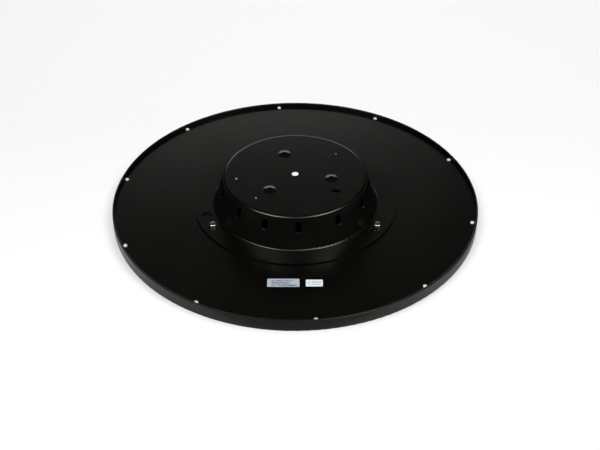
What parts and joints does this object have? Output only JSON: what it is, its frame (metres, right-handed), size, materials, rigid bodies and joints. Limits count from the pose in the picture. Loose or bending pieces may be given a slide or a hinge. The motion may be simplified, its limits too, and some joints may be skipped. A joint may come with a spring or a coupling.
{
  "type": "ceiling light",
  "caption": "Slim round LED panel ceiling light with an opal face, deep metal rim and a vented canopy that twists off three bayonet screws.",
  "frame": {"origin": "centre of the front rim, on the plane that the lamp lies on when face down", "axes": "+Z from the light-giving face towards the ceiling, +Y away from the two labels"},
  "size_m": [0.4999, 0.5, 0.0594],
  "materials": {
    "black_steel": "fine-textured satin black powder coat",
    "rim_paint": "satin black paint",
    "opal": "matt opal",
    "clear_acrylic": "clear polished acrylic with a dot pattern",
    "white_film": "matt white film",
    "grey_foam": "closed-cell foam",
    "white_circuit": "white solder mask",
    "led_phosphor": "yellow phosphor in white packages",
    "nickel_screw": "nickel plated",
    "zinc_nut": "zinc plated",
    "silver_label": null,
    "white_label": null,
    "black_case": "moulded black polycarbonate",
    "green_board": "green circuit board",
    "ferrite": "ferrite core in yellow tape",
    "capacitor_sleeve": "dark printed sleeve",
    "grey_terminal": "grey polyamide",
    "orange_button": "orange polyamide",
    "brass_contact": "stamped brass",
    "mains_sleeve": "brown and blue insulation",
    "earth_sleeve": "green and yellow insulation",
    "led_sleeve": "red and black insulation",
    "tinned_copper": "tin plated",
    "black_rubber": "soft black rubber",
    "white_plug": "soft white plug",
    "black_clamp": "black polyamide",
    "bright_screw": "bright nickel plated"
  },
  "bodies": {
    "lamp": {"frame_ring": "rim_paint", "diffuser": "opal", "light_guide": "clear_acrylic", "reflector_sheet": "white_film", "backing_foam": "grey_foam", "led_strip": "white_circuit", "led_chips": "led_phosphor", "back_plate": "black_steel", "rim_screws": "nickel_screw", "clinch_nuts": "zinc_nut", "rating_label": "silver_label", "batch_label": "white_label", "driver_case": "black_case", "driver_lid": "black_case", "driver_board": "green_board", "driver_transformer": "ferrite", "driver_capacitors": "capacitor_sleeve", "plate_screws": "zinc_nut", "terminal_block": "grey_terminal", "terminal_contacts": "brass_contact", "mains_leads": "mains_sleeve", "earth_lead": "earth_sleeve", "earth_lug": "tinned_copper", "earth_screw": "nickel_screw", "outlet_grommet": "black_rubber", "led_leads": "led_sleeve"},
    "canopy": {"canopy": "black_steel", "cable_plug": "white_plug", "cord_clamp_base": "black_clamp", "cord_clamp_bar": "black_clamp", "cord_clamp_screws": "zinc_nut", "safety_strap": "zinc_nut", "strap_rivets": "zinc_nut"},
    "lock_washer_1": {"lock_washer_1": "zinc_nut"},
    "lock_screw_1": {"lock_screw_1": "bright_screw"},
    "lock_washer_2": {"lock_washer_2": "zinc_nut"},
    "lock_screw_2": {"lock_screw_2": "bright_screw"},
    "lock_washer_3": {"lock_washer_3": "zinc_nut"},
    "lock_screw_3": {"lock_screw_3": "bright_screw"},
    "terminal_button_1": {"terminal_button_1": "orange_button"},
    "terminal_button_2": {"terminal_button_2": "orange_button"},
    "terminal_button_3": {"terminal_button_3": "orange_button"}
  },
  "joints": [
    {"name": "canopy_twist", "type": "hinge", "parent": "lamp", "child": "canopy", "pos_m": [0, 0, 0.0128], "axis": [0, 0, 1], "range_deg": [0, 12]},
    {"name": "lock_washer_lift_1", "type": "slide", "parent": "lamp", "child": "lock_washer_1", "axis": [0, 0, 1], "range_m": [0, 0.0016]},
    {"name": "lock_screw_turn_1", "type": "hinge", "parent": "lock_washer_1", "child": "lock_screw_1", "pos_m": [0, 0.125, 0.0146], "axis": [0, 0, 1], "range_deg": [0, 720.5]},
    {"name": "lock_washer_lift_2", "type": "slide", "parent": "lamp", "child": "lock_washer_2", "axis": [0, 0, 1], "range_m": [0, 0.0016]},
    {"name": "lock_screw_turn_2", "type": "hinge", "parent": "lock_washer_2", "child": "lock_screw_2", "pos_m": [-0.11006, -0.05926, 0.0146], "axis": [0, 0, 1], "range_deg": [0, 720.5]},
    {"name": "lock_washer_lift_3", "type": "slide", "parent": "lamp", "child": "lock_washer_3", "axis": [0, 0, 1], "range_m": [0, 0.0016]},
    {"name": "lock_screw_turn_3", "type": "hinge", "parent": "lock_washer_3", "child": "lock_screw_3", "pos_m": [0.11006, -0.05926, 0.0146], "axis": [0, 0, 1], "range_deg": [0, 720.5]},
    {"name": "terminal_button_press_1", "type": "slide", "parent": "lamp", "child": "terminal_button_1", "axis": [0, 0, -1], "range_m": [0, 0.0016], "stiffness_N_per_m": 400, "springref_m": -0.0005},
    {"name": "terminal_button_press_2", "type": "slide", "parent": "lamp", "child": "terminal_button_2", "axis": [0, 0, -1], "range_m": [0, 0.0016], "stiffness_N_per_m": 400, "springref_m": -0.0005},
    {"name": "terminal_button_press_3", "type": "slide", "parent": "lamp", "child": "terminal_button_3", "axis": [0, 0, -1], "range_m": [0, 0.0016], "stiffness_N_per_m": 400, "springref_m": -0.0005}
  ],
  "couplings": [
    {"joint": "lock_screw_turn_1", "follows": "lock_washer_lift_1", "rad_per_m": 7854},
    {"joint": "lock_screw_turn_2", "follows": "lock_washer_lift_2", "rad_per_m": 7854},
    {"joint": "lock_screw_turn_3", "follows": "lock_washer_lift_3", "rad_per_m": 7854}
  ]
}
